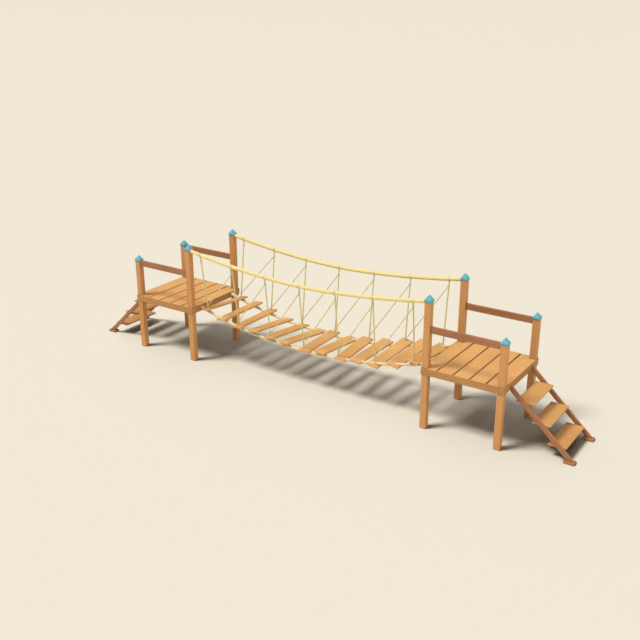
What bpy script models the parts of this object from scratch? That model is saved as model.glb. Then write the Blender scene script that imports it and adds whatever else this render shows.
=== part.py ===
# Rope suspension footbridge between two timber platforms, each with a stair.
# Metres, +Z up. X runs along the bridge, Y across it, and the origin is on the ground at mid-span.
import math

import bmesh
import bpy
from mathutils import Matrix, Vector

# Clear gap between pieces that rest on or against each other
GAP = 0.0003

# Posts: square timber, the tall ones at the bridge and the short ones at the stair
POST_SIDE = 0.100
TALL_POST_X = 2.290
SHORT_POST_X = 3.485
POST_Y = 0.595
TALL_POST_HEIGHT = 2.053
SHORT_POST_HEIGHT = 1.663
POST_CHAMFER = 0.005

# Pyramid caps
CAP_SIDE = 0.112
CAP_SKIRT = 0.014
CAP_HEIGHT = 0.080

# Platform: thin boards wrap the posts and close the ends of the deck planks
DECK_TOP = 1.000
FRAME_HEIGHT = 0.109
FRAME_BOARD = 0.012
DECK_PLANKS = 5
DECK_PLANK_THICKNESS = 0.040
DECK_PLANK_GAP = 0.028
JOIST_WIDTH = 0.045
JOIST_SEAT = 0.004

# Side rails between a tall and a short post
RAIL_TOP = 1.651
RAIL_HEIGHT = 0.100
RAIL_THICKNESS = 0.045

# Stairs
STAIR_SLOPE = math.radians(42.7)
STRINGER_TOP = 0.967
STRINGER_Y = 0.4125
STRINGER_THICKNESS = 0.040
STRINGER_DEPTH = 0.068
FOOT_LENGTH = 0.160
FOOT_WIDTH = 0.110
FOOT_HEIGHT = 0.036
FOOT_X = 4.495
FOOT_ROUNDING = 0.008
STRINGER_SINK = 0.009
TREADS = 3
TREAD_TOP = 0.742
TREAD_RISE = 0.269
TREAD_X = 3.766
TREAD_GOING = 0.260
TREAD_DEPTH = 0.275
TREAD_THICKNESS = 0.032
TREAD_ROUNDING = 0.010

# Ropes of the bridge: each hangs in a curve close to a parabola, whose exact power is given
HAND_ROPE_RADIUS = 0.032
HAND_ROPE_END_Z = 2.020
HAND_ROPE_MID_Z = 1.819
HAND_ROPE_POWER = 1.8
LOWER_ROPE_RADIUS = 0.025
LOWER_ROPE_Y = 0.418
LOWER_ROPE_END_Z = 0.967
LOWER_ROPE_MID_Z = 0.645
LOWER_ROPE_POWER = 2.1
ROPE_SEGMENTS = 32
ROPE_SIDES = 12

# Walking planks, threaded on the two lower ropes
PLANKS = 13
PLANK_PITCH = 0.3385
PLANK_LENGTH = 0.994
PLANK_WIDTH = 0.198
PLANK_THICKNESS = 0.034
PLANK_ROUNDING = 0.004
# Each plank hangs a little askew. From left to right, in degrees: the turn of its far end to the
# right, the rise of its far end and the tilt that lifts its right-hand edge.
PLANK_SKEW = (4, 4, 2, 4, 3, 7, -2, 3, -4, 2, 6, 3, 3)
PLANK_RISE = (-2.5, 2.3, 1.1, -4.3, -4.4, -4.0, 0, -3.6, 1.2, 2.2, 7.5, 4.5, -3.2)
PLANK_TILT = (12, 9, 8, 6, 4, 2, -1, -4, -5, -5, -8, -13, -9)
# Height of the middle of each plank over the centre lines of the ropes, in millimetres
PLANK_LIFT_MM = (35, 40, 41, 41, 37, 35, 33, 35, 29, 35, 31, 34, 24)

# Thin cords of the sides: a hanger at every second plank, and diagonals between them
HANGER_RADIUS = 0.012
HANGER_SHIFT = 0.030
DIAGONAL_RADIUS = 0.009
DIAGONAL_INSET = 0.10
CORD_SIDES = 8

TIMBER = ("post timber", (0.56, 0.27, 0.10), 0.6)
BOARD = ("deck timber", (0.78, 0.44, 0.17), 0.6)
STAINED = ("red-brown stained timber", (0.36, 0.14, 0.05), 0.6)
CAP_BLUE = ("blue cap plastic", (0.09, 0.43, 0.58), 0.4)
THICK_ROPE = ("thick rope", (0.93, 0.76, 0.38), 0.85)
THIN_ROPE = ("thin rope", (0.80, 0.66, 0.36), 0.85)

HALF_POST = POST_SIDE / 2
PLATFORM_INNER_X = TALL_POST_X - HALF_POST
PLATFORM_OUTER_X = SHORT_POST_X + HALF_POST
PLATFORM_HALF_Y = POST_Y + HALF_POST
FRAME_FACE_X = PLATFORM_INNER_X - FRAME_BOARD - GAP
STAIR_FACE_X = PLATFORM_OUTER_X + FRAME_BOARD + GAP
DECK_UNDERSIDE = DECK_TOP - DECK_PLANK_THICKNESS
FRAME_BOTTOM = DECK_TOP - FRAME_HEIGHT


def clear_scene():
    for obj in list(bpy.data.objects):
        bpy.data.objects.remove(obj)


def material(spec):
    name, colour, roughness = spec
    mat = bpy.data.materials.get(name)
    if mat is None:
        mat = bpy.data.materials.new(name)
        mat.use_nodes = True
        shader = mat.node_tree.nodes["Principled BSDF"]
        shader.inputs["Base Color"].default_value = (*colour, 1.0)
        shader.inputs["Roughness"].default_value = roughness
    return mat


def add_object(name, bm, spec):
    """Turn a bmesh into a named object with its faces pointing out."""
    bmesh.ops.recalc_face_normals(bm, faces=bm.faces)
    mesh = bpy.data.meshes.new(name)
    bm.to_mesh(mesh)
    bm.free()
    mesh.materials.append(material(spec))
    obj = bpy.data.objects.new(name, mesh)
    bpy.context.scene.collection.objects.link(obj)
    return obj


def make_guide(obj):
    """A shape that only cuts or joins another one."""
    obj.hide_render = True
    obj.display_type = "WIRE"
    return obj


def combine(obj, operation, other):
    modifier = obj.modifiers.new(operation.lower(), "BOOLEAN")
    modifier.operation = operation
    modifier.object = other


def round_edges(obj, width):
    modifier = obj.modifiers.new("rounding", "BEVEL")
    modifier.width = width
    modifier.segments = 1
    modifier.limit_method = "ANGLE"


def add_box(bm, low, high):
    size = [high[i] - low[i] for i in range(3)]
    centre = [(high[i] + low[i]) / 2 for i in range(3)]
    bmesh.ops.create_cube(bm, size=1.0, matrix=Matrix.Translation(centre) @ Matrix.Diagonal((*size, 1.0)))


def add_prism(bm, outline, axis, start, end):
    """Extrude a flat outline along X, Y or Z. The outline leaves out that axis's coordinate."""
    def ring(level):
        return [bm.verts.new(Vector((*point[:axis], level, *point[axis:]))) for point in outline]
    first, last = ring(start), ring(end)
    bm.faces.new(first)
    bm.faces.new(last[::-1])
    for i in range(len(outline)):
        j = (i + 1) % len(outline)
        bm.faces.new((first[j], first[i], last[i], last[j]))


def skin_rings(bm, rings):
    """Join rings of vertices into a closed tube."""
    for a, b in zip(rings, rings[1:]):
        for i in range(len(a)):
            j = (i + 1) % len(a)
            bm.faces.new((a[i], a[j], b[j], b[i]))
    bm.faces.new(rings[0][::-1])
    bm.faces.new(rings[-1])


def add_rod(bm, start, end, radius):
    """A straight round cord between two points."""
    start, end = Vector(start), Vector(end)
    turn = (end - start).to_track_quat("Z", "Y")
    rings = []
    for centre in (start, end):
        ring = []
        for i in range(CORD_SIDES):
            angle = math.tau * i / CORD_SIDES
            offset = turn @ Vector((radius * math.cos(angle), radius * math.sin(angle), 0.0))
            ring.append(bm.verts.new(centre + offset))
        rings.append(ring)
    skin_rings(bm, rings)


def hand_rope_z(x):
    rise = HAND_ROPE_END_Z - HAND_ROPE_MID_Z
    return HAND_ROPE_MID_Z + rise * abs(x / PLATFORM_INNER_X) ** HAND_ROPE_POWER


def lower_rope_z(x):
    rise = LOWER_ROPE_END_Z - LOWER_ROPE_MID_Z
    return LOWER_ROPE_MID_Z + rise * abs(x / FRAME_FACE_X) ** LOWER_ROPE_POWER


def add_sagging_rope(bm, y, half_span, height_at, radius):
    """A round rope hung between x = -half_span and +half_span, cut square to X at both ends."""
    rings = []
    step = 2 * half_span / ROPE_SEGMENTS
    for i in range(ROPE_SEGMENTS + 1):
        x = i * step - half_span
        z = height_at(x)
        slope = (height_at(x + step / 2) - height_at(x - step / 2)) / step
        stretch = math.hypot(1.0, slope)
        ring = []
        for k in range(ROPE_SIDES):
            angle = math.tau * (k + 0.5) / ROPE_SIDES
            out, up = radius * math.cos(angle), stretch * radius * math.sin(angle)
            ring.append(bm.verts.new((x, y + out, z + up)))
        rings.append(ring)
    skin_rings(bm, rings)


def sides():
    return (("left", -1), ("right", 1))


def rows():
    return (("near", -1), ("far", 1))


def build_posts_and_caps():
    kinds = (("tall", TALL_POST_X, TALL_POST_HEIGHT), ("short", SHORT_POST_X, SHORT_POST_HEIGHT))
    for side, sx in sides():
        for row, sy in rows():
            for kind, post_x, height in kinds:
                x, y = sx * post_x, sy * POST_Y
                bm = bmesh.new()
                add_box(bm, (x - HALF_POST, y - HALF_POST, 0.0), (x + HALF_POST, y + HALF_POST, height))
                post = add_object(f"{kind}_post_{side}_{row}", bm, TIMBER)
                round_edges(post, POST_CHAMFER)
                build_cap(f"{kind}_cap_{side}_{row}", x, y, height + GAP)


def build_cap(name, x, y, base_z):
    """A square pyramid on a short upright skirt."""
    half = CAP_SIDE / 2
    bm = bmesh.new()
    rings = []
    for z in (base_z, base_z + CAP_SKIRT):
        rings.append([bm.verts.new((x + half * dx, y + half * dy, z))
                      for dx, dy in ((-1, -1), (1, -1), (1, 1), (-1, 1))])
    apex = bm.verts.new((x, y, base_z + CAP_HEIGHT))
    bm.faces.new(rings[0][::-1])
    for i in range(4):
        j = (i + 1) % 4
        bm.faces.new((rings[0][i], rings[0][j], rings[1][j], rings[1][i]))
        bm.faces.new((rings[1][i], rings[1][j], apex))
    add_object(name, bm, CAP_BLUE)


def deck_plank_outline(sx, index):
    """One deck plank seen from above. The first and last go around the posts."""
    pitch = (PLATFORM_OUTER_X - PLATFORM_INNER_X) / DECK_PLANKS
    x0 = PLATFORM_INNER_X + index * pitch
    x1 = x0 + pitch - (DECK_PLANK_GAP if index < DECK_PLANKS - 1 else 0.0)
    y1 = PLATFORM_HALF_Y
    notch = POST_SIDE + GAP
    if index == 0:
        step_x, step_y = x0 + notch, y1 - notch
        points = [(step_x, -y1), (x1, -y1), (x1, y1), (step_x, y1), (step_x, step_y), (x0, step_y),
                  (x0, -step_y), (step_x, -step_y)]
    elif index == DECK_PLANKS - 1:
        step_x, step_y = x1 - notch, y1 - notch
        points = [(x0, -y1), (step_x, -y1), (step_x, -step_y), (x1, -step_y), (x1, step_y),
                  (step_x, step_y), (step_x, y1), (x0, y1)]
    else:
        points = [(x0, -y1), (x1, -y1), (x1, y1), (x0, y1)]
    return [(sx * x, y) for x, y in points]


def build_decks():
    for side, sx in sides():
        bm = bmesh.new()
        for index in range(DECK_PLANKS):
            add_prism(bm, deck_plank_outline(sx, index), 2, DECK_UNDERSIDE, DECK_TOP)
        deck = add_object(f"deck_{side}", bm, BOARD)
        bm = bmesh.new()
        x0 = TALL_POST_X + HALF_POST + GAP
        x1 = SHORT_POST_X - HALF_POST - GAP
        for y in (-POST_Y, 0.0, POST_Y):
            ends = sorted((sx * x0, sx * x1))
            add_box(bm, (ends[0], y - JOIST_WIDTH / 2, FRAME_BOTTOM),
                    (ends[1], y + JOIST_WIDTH / 2, DECK_UNDERSIDE + JOIST_SEAT))
        joists = make_guide(add_object(f"joists_{side}", bm, BOARD))
        combine(deck, "UNION", joists)


def build_frames():
    """A ring of thin boards around the posts and plank ends of each platform."""
    corners = ((-1, -1), (1, -1), (1, 1), (-1, 1))
    middle_x = (PLATFORM_INNER_X + PLATFORM_OUTER_X) / 2
    half_x = (PLATFORM_OUTER_X - PLATFORM_INNER_X) / 2 + GAP
    half_y = PLATFORM_HALF_Y + GAP
    inner, outer = 0.0, FRAME_BOARD
    section = ((inner, FRAME_BOTTOM), (outer, FRAME_BOTTOM), (outer, DECK_TOP), (inner, DECK_TOP))
    for side, sx in sides():
        bm = bmesh.new()
        loops = []
        for grow, z in section:
            loops.append([bm.verts.new((sx * middle_x + dx * (half_x + grow), dy * (half_y + grow), z))
                          for dx, dy in corners])
        for k in range(4):
            a, b = loops[k], loops[(k + 1) % 4]
            for i in range(4):
                j = (i + 1) % 4
                bm.faces.new((a[i], a[j], b[j], b[i]))
        add_object(f"frame_{side}", bm, TIMBER)


def build_rails():
    for side, sx in sides():
        ends = sorted((sx * (TALL_POST_X + HALF_POST + GAP), sx * (SHORT_POST_X - HALF_POST - GAP)))
        for row, sy in rows():
            y = sy * POST_Y
            bm = bmesh.new()
            add_box(bm, (ends[0], y - RAIL_THICKNESS / 2, RAIL_TOP - RAIL_HEIGHT),
                    (ends[1], y + RAIL_THICKNESS / 2, RAIL_TOP))
            add_object(f"rail_{side}_{row}", bm, STAINED)


def build_stairs():
    across_x = STRINGER_DEPTH / math.sin(STAIR_SLOPE)
    across_z = STRINGER_DEPTH / math.cos(STAIR_SLOPE)
    top_x = STAIR_FACE_X + GAP
    foot_z = FOOT_HEIGHT - STRINGER_SINK
    foot_x = top_x + (STRINGER_TOP - foot_z) / math.tan(STAIR_SLOPE)
    profile = [(top_x, STRINGER_TOP - across_z), (foot_x - across_x, foot_z),
               (foot_x, foot_z), (top_x, STRINGER_TOP)]
    half_thickness = STRINGER_THICKNESS / 2
    inner_y = STRINGER_Y - half_thickness - GAP
    for side, sx in sides():
        for row, sy in rows():
            y = sy * STRINGER_Y
            bm = bmesh.new()
            outline = [(sx * x, z) for x, z in profile]
            add_prism(bm, outline, 1, y - half_thickness, y + half_thickness)
            stringer = add_object(f"stringer_{side}_{row}", bm, STAINED)
            bm = bmesh.new()
            add_box(bm, (sx * FOOT_X - FOOT_LENGTH / 2, y - FOOT_WIDTH / 2, 0.0),
                    (sx * FOOT_X + FOOT_LENGTH / 2, y + FOOT_WIDTH / 2, FOOT_HEIGHT))
            pad = make_guide(add_object(f"foot_{side}_{row}", bm, STAINED))
            round_edges(pad, FOOT_ROUNDING)
            combine(stringer, "UNION", pad)
        for index in range(TREADS):
            top = TREAD_TOP - index * TREAD_RISE
            x = sx * (TREAD_X + index * TREAD_GOING)
            bm = bmesh.new()
            add_box(bm, (x - TREAD_DEPTH / 2, -inner_y, top - TREAD_THICKNESS),
                    (x + TREAD_DEPTH / 2, inner_y, top))
            tread = add_object(f"tread_{side}_{index + 1}", bm, BOARD)
            round_edges(tread, TREAD_ROUNDING)


def add_hand_rope(bm, sy, swell=0.0):
    half_span = PLATFORM_INNER_X - GAP
    add_sagging_rope(bm, sy * POST_Y, half_span, hand_rope_z, HAND_ROPE_RADIUS + swell)


def add_lower_rope(bm, sy, swell=0.0):
    half_span = FRAME_FACE_X - GAP
    add_sagging_rope(bm, sy * LOWER_ROPE_Y, half_span, lower_rope_z, LOWER_ROPE_RADIUS + swell)


def build_ropes():
    for row, sy in rows():
        for name, add in (("hand_rope", add_hand_rope), ("lower_rope", add_lower_rope)):
            bm = bmesh.new()
            add(bm, sy)
            rope = add_object(f"{name}_{row}", bm, THICK_ROPE)
            rope.data.shade_smooth()
            rope.data.set_sharp_from_angle(angle=math.radians(50))


def plank_x(index):
    return (index - (PLANKS - 1) / 2) * PLANK_PITCH


def hanger_line(index, sy):
    """The upper and lower ends of a hanger's centre line, on the centre lines of the two ropes."""
    x = plank_x(2 * index)
    foot_x = x + sy * HANGER_SHIFT
    upper = Vector((x, sy * POST_Y, hand_rope_z(x)))
    lower = Vector((foot_x, sy * LOWER_ROPE_Y, lower_rope_z(foot_x)))
    return upper, lower


def hangers():
    return (PLANKS + 1) // 2


def rope_cutter(add):
    """Both ropes of one kind, larger by the gap, to cut a seat into what rests on them."""
    bm = bmesh.new()
    for _, sy in rows():
        add(bm, sy, GAP)
    return make_guide(add_object(add.__name__ + "_seat", bm, THICK_ROPE))


def build_side_nets(hand_seat, lower_seat):
    for row, sy in rows():
        bm = bmesh.new()
        for index in range(hangers()):
            upper, lower = hanger_line(index, sy)
            add_rod(bm, lower, upper, HANGER_RADIUS)
        net = add_object(f"side_net_{row}", bm, THIN_ROPE)
        bm = bmesh.new()
        for index in range(hangers() - 1):
            upper, lower = hanger_line(index, sy)
            next_upper, next_lower = hanger_line(index + 1, sy)
            add_rod(bm, lower.lerp(upper, DIAGONAL_INSET), next_upper.lerp(next_lower, DIAGONAL_INSET),
                    DIAGONAL_RADIUS)
        diagonals = make_guide(add_object(f"diagonals_{row}", bm, THIN_ROPE))
        combine(net, "UNION", diagonals)
        combine(net, "DIFFERENCE", hand_seat)
        combine(net, "DIFFERENCE", lower_seat)


def hanger_cutter():
    """The hangers, larger by the gap, to cut their holes through the planks."""
    bm = bmesh.new()
    for _, sy in rows():
        for index in range(hangers()):
            upper, lower = hanger_line(index, sy)
            add_rod(bm, lower, lower.lerp(upper, DIAGONAL_INSET), HANGER_RADIUS + GAP)
    return make_guide(add_object("hanger_holes", bm, THIN_ROPE))


def build_planks(lower_seat):
    holes = hanger_cutter()
    for index in range(PLANKS):
        x = plank_x(index)
        turn = Matrix.Rotation(math.radians(-PLANK_SKEW[index]), 4, "Z")
        rise = Matrix.Rotation(math.radians(PLANK_RISE[index]), 4, "X")
        tilt = Matrix.Rotation(math.radians(-PLANK_TILT[index]), 4, "Y")
        middle = Matrix.Translation((x, 0.0, lower_rope_z(x) + PLANK_LIFT_MM[index] / 1000))
        place = middle @ turn @ rise @ tilt
        bm = bmesh.new()
        half = Vector((PLANK_WIDTH, PLANK_LENGTH, PLANK_THICKNESS)) / 2
        add_box(bm, -half, half)
        bm.transform(place)
        plank = add_object(f"plank_{index + 1:02d}", bm, BOARD)
        round_edges(plank, PLANK_ROUNDING)
        combine(plank, "DIFFERENCE", lower_seat)
        if index % 2 == 0:
            combine(plank, "DIFFERENCE", holes)


def main():
    clear_scene()
    build_posts_and_caps()
    build_decks()
    build_frames()
    build_rails()
    build_stairs()
    build_ropes()
    hand_seat = rope_cutter(add_hand_rope)
    lower_seat = rope_cutter(add_lower_rope)
    build_side_nets(hand_seat, lower_seat)
    build_planks(lower_seat)


main()
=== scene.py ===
# %% [markdown]
# # Dressing a playground rope bridge
# The bridge has thirteen planks threaded on two sagging ropes, between two timber platforms. This lesson
# starts from its plain solids and gives each one the shape and finish of the real material: planed
# pine, plaited and laid rope, blue plastic caps. The solids stay where they are, so every piece below
# is made in metres, in the same place.

# %% Load the bridge's solids
import math
import random
from functools import partial

import bpy
from mathutils import Euler, Matrix, Vector


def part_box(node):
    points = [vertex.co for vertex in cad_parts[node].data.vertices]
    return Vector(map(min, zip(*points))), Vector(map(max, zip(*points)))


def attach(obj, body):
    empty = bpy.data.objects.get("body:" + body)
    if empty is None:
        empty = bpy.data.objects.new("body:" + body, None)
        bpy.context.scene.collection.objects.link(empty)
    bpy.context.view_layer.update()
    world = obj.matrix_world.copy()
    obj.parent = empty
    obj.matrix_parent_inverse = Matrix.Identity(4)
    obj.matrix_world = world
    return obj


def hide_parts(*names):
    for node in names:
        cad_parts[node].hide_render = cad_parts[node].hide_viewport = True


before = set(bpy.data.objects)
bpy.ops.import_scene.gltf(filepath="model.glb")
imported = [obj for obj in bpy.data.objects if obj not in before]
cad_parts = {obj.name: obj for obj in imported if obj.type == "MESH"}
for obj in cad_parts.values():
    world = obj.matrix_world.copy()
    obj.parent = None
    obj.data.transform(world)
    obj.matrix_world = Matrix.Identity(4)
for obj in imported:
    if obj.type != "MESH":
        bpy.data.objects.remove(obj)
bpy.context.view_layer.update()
chance = random.Random(7)

# %% [markdown]
# ## Colours and nodes
# Colours are picked on a screen, so they are sRGB hex values. Shaders and lights work with linear
# values, and one function turns one into the other. Another adds a node of any kind to a tree, and sets or
# links its inputs, so each material and each Geometry Nodes tree reads as a short list.

# %% Colours and nodes
def linear(hex_colour):
    """Turn an sRGB hex colour into linear red, green, blue and alpha."""
    channels = []
    for i in (0, 2, 4):
        value = int(hex_colour[i:i + 2], 16) / 255
        channels.append(value / 12.92 if value <= 0.04045 else ((value + 0.055) / 1.055) ** 2.4)
    return (*channels, 1.0)


def feed(node, inputs):
    """Set a node's inputs, by name or number. A value that is another node's output becomes a link."""
    for key, value in inputs.items():
        if isinstance(value, bpy.types.NodeSocket):
            node.id_data.links.new(value, node.inputs[key])
        else:
            node.inputs[key].default_value = value


def add_node(tree, kind, inputs=(), **settings):
    """Add a node, and return its outputs. Inputs are a dict, or a list in the order of the sockets.

    A kind with no "Node" in it is a shader node, and a second word is its operation: "Math ADD" is a
    ShaderNodeMath that adds.
    """
    kind, _, operation = kind.partition(" ")
    node = tree.nodes.new(kind if "Node" in kind else "ShaderNode" + kind)
    if operation:
        node.operation = operation
    for name, value in settings.items():
        setattr(node, name, value)
    feed(node, inputs if isinstance(inputs, dict) else dict(enumerate(inputs)))
    return node.outputs


print("mid grey is", round(linear("808080")[0], 3), "in linear light")

# %% [markdown]
# ## How a tree becomes a piece
# A Geometry Nodes tree is a recipe with named inputs. To use it, a small carrier mesh gets it as a
# modifier, the inputs are filled in, and the result is frozen into a plain mesh. Freezing matters,
# because a game engine or an exporter can't run the recipe. Each recipe ends in Realize Instances, which
# turns its copies into real faces, and Set Material.

# %% Start and end a recipe
def new_tree(name, sizes, shape=False):
    """A tree whose inputs are a carrier, sizes and a finish, the function that adds to it, and its inputs."""
    tree = bpy.data.node_groups.new(name, "GeometryNodeTree")
    kinds = {"Carrier": "Geometry", **dict.fromkeys(sizes, "Float"), "Finish": "Material"}
    if shape:
        kinds["Shape"] = "Object"
    for socket, kind in kinds.items():
        tree.interface.new_socket(socket, in_out="INPUT", socket_type="NodeSocket" + kind)
    tree.interface.new_socket("Piece", in_out="OUTPUT", socket_type="NodeSocketGeometry")
    add = partial(add_node, tree)
    return tree, add, add("NodeGroupInput")


def end_tree(tree, add, given, mesh):
    mesh = add("GeometryNodeRealizeInstances", {"Geometry": mesh})[0]
    mesh = add("GeometryNodeSetMaterial", {"Geometry": mesh, "Material": given["Finish"]})[0]
    add("NodeGroupOutput", {"Piece": mesh})
    print("the recipe for", tree.name, "has", len(tree.nodes), "nodes")
    return tree


print("a recipe starts with new_tree and ends with end_tree")

# %% Run a recipe on a carrier and freeze the result
# What the recipes read from a carrier or keep on the way, and a finished piece doesn't need
WORKING_VALUES = ("corner", "ball", "middle", "size", "turn", "heart", "saw")


def into_scene(name, data):
    """Put a mesh, a lamp or a camera into the scene."""
    thing = bpy.data.objects.new(name, data)
    bpy.context.scene.collection.objects.link(thing)
    return thing


def mesh_object(name, points, edges=(), faces=()):
    mesh = bpy.data.meshes.new(name)
    mesh.from_pydata([tuple(point) for point in points], edges, faces)
    return into_scene(name, mesh)


def carrier_of(points, edges=(), **values):
    """Points for a recipe to build on, each with its own values, and loose or joined by edges."""
    carrier = mesh_object("carrier", points, edges)
    for key, vectors in values.items():
        layer = carrier.data.attributes.new(key, "FLOAT_VECTOR", "POINT")
        layer.data.foreach_set("vector", [number for vector in vectors for number in vector])
    return carrier


def freeze(name, carrier, tree, values):
    """Run a recipe on its carrier, and keep the result as a plain mesh."""
    modifier = carrier.modifiers.new("recipe", "NODES")
    modifier.node_group = tree
    sockets = {item.name: item.identifier for item in tree.interface.items_tree if item.in_out == "INPUT"}
    for key, value in values.items():
        modifier[sockets[key]] = value
    bpy.context.view_layer.update()
    evaluated = carrier.evaluated_get(bpy.context.evaluated_depsgraph_get())
    mesh = bpy.data.meshes.new_from_object(evaluated)
    for attribute in WORKING_VALUES:
        if attribute in mesh.attributes:
            mesh.attributes.remove(mesh.attributes[attribute])
    mesh.name = name
    bpy.data.objects.remove(carrier)
    print(name, len(mesh.polygons), "faces")
    return into_scene(name, mesh)


def seat(piece, nodes):
    """Put a finished piece in place of its solids."""
    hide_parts(*nodes)
    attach(piece, "root")


SIDES = {"left": -1, "right": 1}
ROWS = {"near": -1, "far": 1}
CORNERS = [(side, row) for side in SIDES for row in ROWS]
KINDS = ("tall", "short")
print(len(CORNERS), "corners")

# %% [markdown]
# ## Planed timber
# Posts, rails, deck boards, treads and planks are all planed pine with eased edges, so one recipe makes
# them all. A Bevel modifier would do, but its width is squeezed wherever a box is scaled. Here a cube
# of 6 by 6 by 6 points is bent instead: each point belongs to one corner of the board, and sits on a
# small ball of the rounding's radius at that corner. The board can then be any size with the same
# rounding. The ends can also be sawn at a slant, which the stair strings need.
#
# Each point keeps its place in its own board's axes, moved by a random step, as the attribute
# "grain". The wood pattern reads that, so the grain runs along every board, however it is turned, and
# no two boards look the same.

# %% A cube that bends into a board
CUBE_POINTS = 6
INNERMOST_POINT = 0.2


def bending_cube(add):
    """Give each point of a cube its corner of the board, and its direction on the ball at that corner."""
    points = {f"Vertices {axis}": CUBE_POINTS for axis in "XYZ"}
    cube = add("GeometryNodeMeshCube", {"Size": (2, 2, 2), **points})["Mesh"]
    place = add("GeometryNodeInputPosition")[0]
    corner = add("VectorMath SIGN", [place])[0]
    # The innermost points of the cube are where the flats end, so there the ball has no bulge
    reach = add("VectorMath ABSOLUTE", [place])[0]
    reach = add("VectorMath SUBTRACT", [reach, (INNERMOST_POINT,) * 3])[0]
    ball = add("VectorMath MULTIPLY", [reach, corner])[0]
    ball = add("VectorMath NORMALIZE", [ball])[0]
    for name, value in (("corner", corner), ("ball", ball)):
        cube = add("GeometryNodeStoreNamedAttribute", {"Geometry": cube, "Name": name, "Value": value},
                   data_type="FLOAT_VECTOR")[0]
    return cube


print("each board has", CUBE_POINTS, "points along each edge")

# %% The recipe for planed boards
LEAST_EASING = 0.001


def edge_amount(add, ball):
    """The rounding counts as an edge: 0 on the flats, more where the ball's direction is between the axes."""
    spread = add("VectorMath ABSOLUTE", [ball])[0]
    parts = add("SeparateXYZ", [spread])
    most = add("Math MAXIMUM", [parts["X"], parts["Y"]])[0]
    most = add("Math MAXIMUM", [most, parts["Z"]])[0]
    return add("Math SUBTRACT", [1.0, most])[0]


def planed_board_tree():
    tree, add, given = new_tree("planed boards", ["Rounding"])
    middles = {"Geometry": given["Carrier"], "Name": "middle", "Value": add("GeometryNodeInputPosition")[0]}
    boards = add("GeometryNodeStoreNamedAttribute", middles, data_type="FLOAT_VECTOR")[0]
    mesh = add("GeometryNodeInstanceOnPoints", {"Points": boards, "Instance": bending_cube(add)})[0]
    mesh = add("GeometryNodeRealizeInstances", {"Geometry": mesh})[0]
    read = {name: add("GeometryNodeInputNamedAttribute", {"Name": name}, data_type="FLOAT_VECTOR")[0]
            for name in WORKING_VALUES}
    # A point stands at its corner of the board's core, and the ball pushes it out from there
    half = add("VectorMath MULTIPLY", [read["size"], (0.5, 0.5, 0.5)])[0]
    radius = add("CombineXYZ", [given["Rounding"]] * 3)[0]
    core = add("VectorMath SUBTRACT", [half, radius])[0]
    core = add("VectorMath MULTIPLY", [core, read["corner"]])[0]
    bulge = add("VectorMath MULTIPLY", [read["ball"], radius])[0]
    local = add("VectorMath ADD", [core, bulge])[0]
    # A slanted saw cut moves an end along the board, more so the further it is from the middle
    end = add("SeparateXYZ", [read["corner"]])["X"]
    cuts = add("SeparateXYZ", [read["saw"]])
    height = add("SeparateXYZ", [local])["Z"]
    slant = add("MapRange", {"Value": end, "From Min": -1.0, "To Min": cuts["X"], "To Max": cuts["Y"]})[0]
    slide = add("Math MULTIPLY", [slant, height])[0]
    slide = add("CombineXYZ", {"X": slide})[0]
    local = add("VectorMath ADD", [local, slide])[0]
    turn = add("FunctionNodeEulerToRotation", [read["turn"]])[0]
    turned = add("FunctionNodeRotateVector", {"Vector": local, "Rotation": turn})[0]
    final = add("VectorMath ADD", [turned, read["middle"]])[0]
    grain = add("VectorMath ADD", [local, read["heart"]])[0]
    edge = edge_amount(add, read["ball"])
    for name, value, data_type in (("grain", grain, "FLOAT_VECTOR"), ("edge", edge, "FLOAT")):
        mesh = add("GeometryNodeStoreNamedAttribute", {"Geometry": mesh, "Name": name, "Value": value},
                   data_type=data_type)[0]
    mesh = add("GeometryNodeSetPosition", {"Geometry": mesh, "Position": final})[0]
    kept_edge = add("GeometryNodeInputNamedAttribute", {"Name": "edge"}, data_type="FLOAT")[0]
    eased = add("Math GREATER_THAN", [kept_edge, LEAST_EASING])[0]
    mesh = add("GeometryNodeSetShadeSmooth", {"Geometry": mesh, "Shade Smooth": eased})[0]
    return end_tree(tree, add, given, mesh)


planed_boards = planed_board_tree()

# %% [markdown]
# ## A list of boards
# A board is a middle, a size along, across and through the grain, and a turn. The functions below make
# one piece of a list of them. The heart of the tree lies 5 to 14 cm off the middle of each board, on a side
# picked at random, which decides how its growth rings come out on the faces.

# %% Turn a list of boards into a piece
HEART_DEPTH = (0.05, 0.14)
HEART_SHIFT = 0.05
GRAIN_RUN = 60
# The grain runs along a board's first axis. These turns point that axis along X, along Y or upwards.
ALONG_X = Matrix.Identity(3)
ALONG_Y = Matrix.Rotation(math.radians(90), 3, "Z")
UPRIGHT = Matrix.Rotation(math.radians(-90), 3, "Y")


def board(middle, size, turn, saw=(0.0, 0.0)):
    return {"middle": middle, "size": size, "turn": tuple(turn.to_euler()), "saw": (*saw, 0.0)}


def board_in_box(low, high, turn):
    """A board that fills a box, with its grain along the axis that the turn gives."""
    low, high = Vector(low), Vector(high)
    size = turn.transposed() @ (high - low)
    return board((low + high) / 2, tuple(abs(number) for number in size), turn)


def make_boards(name, boards, rounding, finish):
    hearts = []
    for _ in boards:
        depth = chance.uniform(*HEART_DEPTH) * chance.choice((-1, 1))
        hearts.append((chance.uniform(0, GRAIN_RUN), chance.uniform(-HEART_SHIFT, HEART_SHIFT), depth))
    values = {key: [each[key] for each in boards] for key in ("size", "turn", "saw")}
    carrier = carrier_of([each["middle"] for each in boards], heart=hearts, **values)
    return freeze(name, carrier, planed_boards, {"Rounding": rounding, "Finish": finish})


def boards_in_nodes(name, nodes, turn, rounding, finish):
    """Make a piece with one board in the box of each of its nodes, and seat it."""
    boards = [board_in_box(*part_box(node), turn) for node in nodes]
    seat(make_boards(name, boards, rounding, finish), nodes)


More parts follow.
